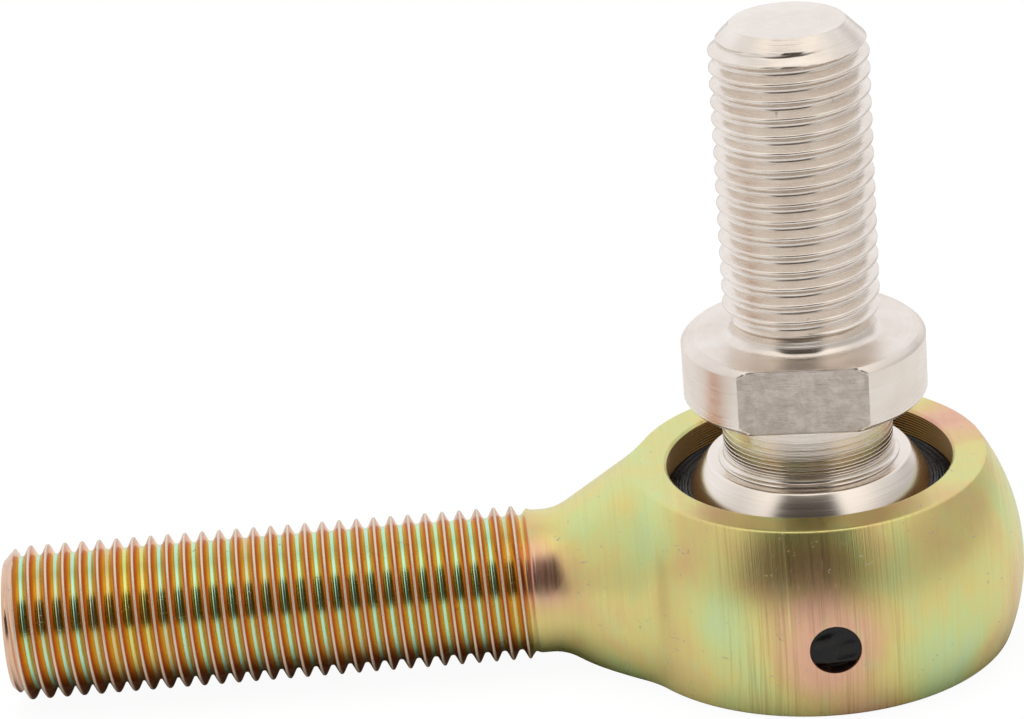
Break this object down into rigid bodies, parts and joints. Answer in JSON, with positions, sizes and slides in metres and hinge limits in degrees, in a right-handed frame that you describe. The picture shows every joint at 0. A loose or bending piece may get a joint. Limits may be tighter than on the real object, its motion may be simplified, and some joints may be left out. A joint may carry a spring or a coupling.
{
  "type": "rod end bearing",
  "caption": "Male rod end with a moulded plastic race, a steel ball and a threaded ball stud that tilts and spins.",
  "frame": {"origin": "centre of the ball, where the axes of tilt and spin meet", "axes": "+Z along the stud towards its tip, -X towards the end of the threaded shank, the gate hole on the -Y side"},
  "size_m": [0.0624, 0.0255, 0.0395],
  "materials": {
    "yellow_zinc_steel": "yellow zinc chromate, semi-gloss",
    "race_plastic": "glossy moulded",
    "polished_steel": "mirror polished",
    "nickel_steel": "nickel plated, turned"
  },
  "bodies": {
    "body": {"rod_end_body": "yellow_zinc_steel", "gate_plug": "race_plastic"},
    "race": {"race": "race_plastic"},
    "ball": {"ball": "polished_steel"},
    "stud": {"stud": "nickel_steel"}
  },
  "joints": [
    {"name": "tilt_direction", "type": "hinge", "parent": "body", "child": "race", "pos_m": [0, 0, 0], "axis": [0, 0, 1], "continuous": true},
    {"name": "tilt", "type": "hinge", "parent": "race", "child": "ball", "pos_m": [0, 0, 0], "axis": [0, 1, 0], "range_deg": [-25, 25]},
    {"name": "spin", "type": "hinge", "parent": "ball", "child": "stud", "pos_m": [0, 0, 0], "axis": [0, 0, 1], "continuous": true}
  ]
}
